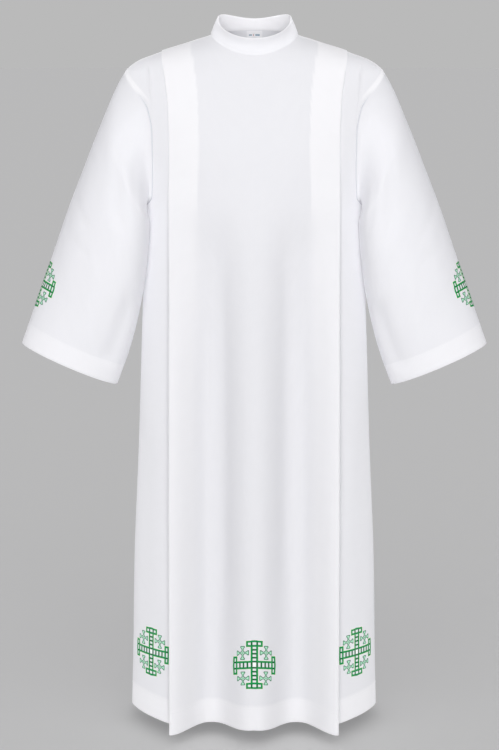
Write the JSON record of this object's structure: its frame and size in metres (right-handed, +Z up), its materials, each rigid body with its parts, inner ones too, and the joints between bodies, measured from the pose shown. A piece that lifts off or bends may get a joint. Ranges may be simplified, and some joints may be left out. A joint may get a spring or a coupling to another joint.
{
  "type": "alb robe",
  "caption": "Long white liturgical robe, filled out and hollow: stand collar, pleated front and back, straight set-in sleeves, hemmed to the ankle, with small embroidered crosses.",
  "frame": {"origin": "middle of the neck, level with the points where the collar meets the shoulder seams; the wearer's shoulders and neck hold the robe up there", "axes": "+Z up, +X towards the wearer's left arm, -Y to the front"},
  "size_m": [0.98, 0.3349, 1.5001],
  "materials": {
    "white_cloth": "plain-woven white cotton and polyester cloth, matt, with a faint sheen on the folds",
    "collar_cloth": "the same white cloth, doubled and topstitched",
    "label_tape": "smooth woven label tape"
  },
  "bodies": {
    "root": {"front": "white_cloth", "back": "white_cloth", "sleeve_left": "white_cloth", "sleeve_right": "white_cloth", "collar": "collar_cloth", "neck_label": "label_tape"}
  },
  "joints": []
}
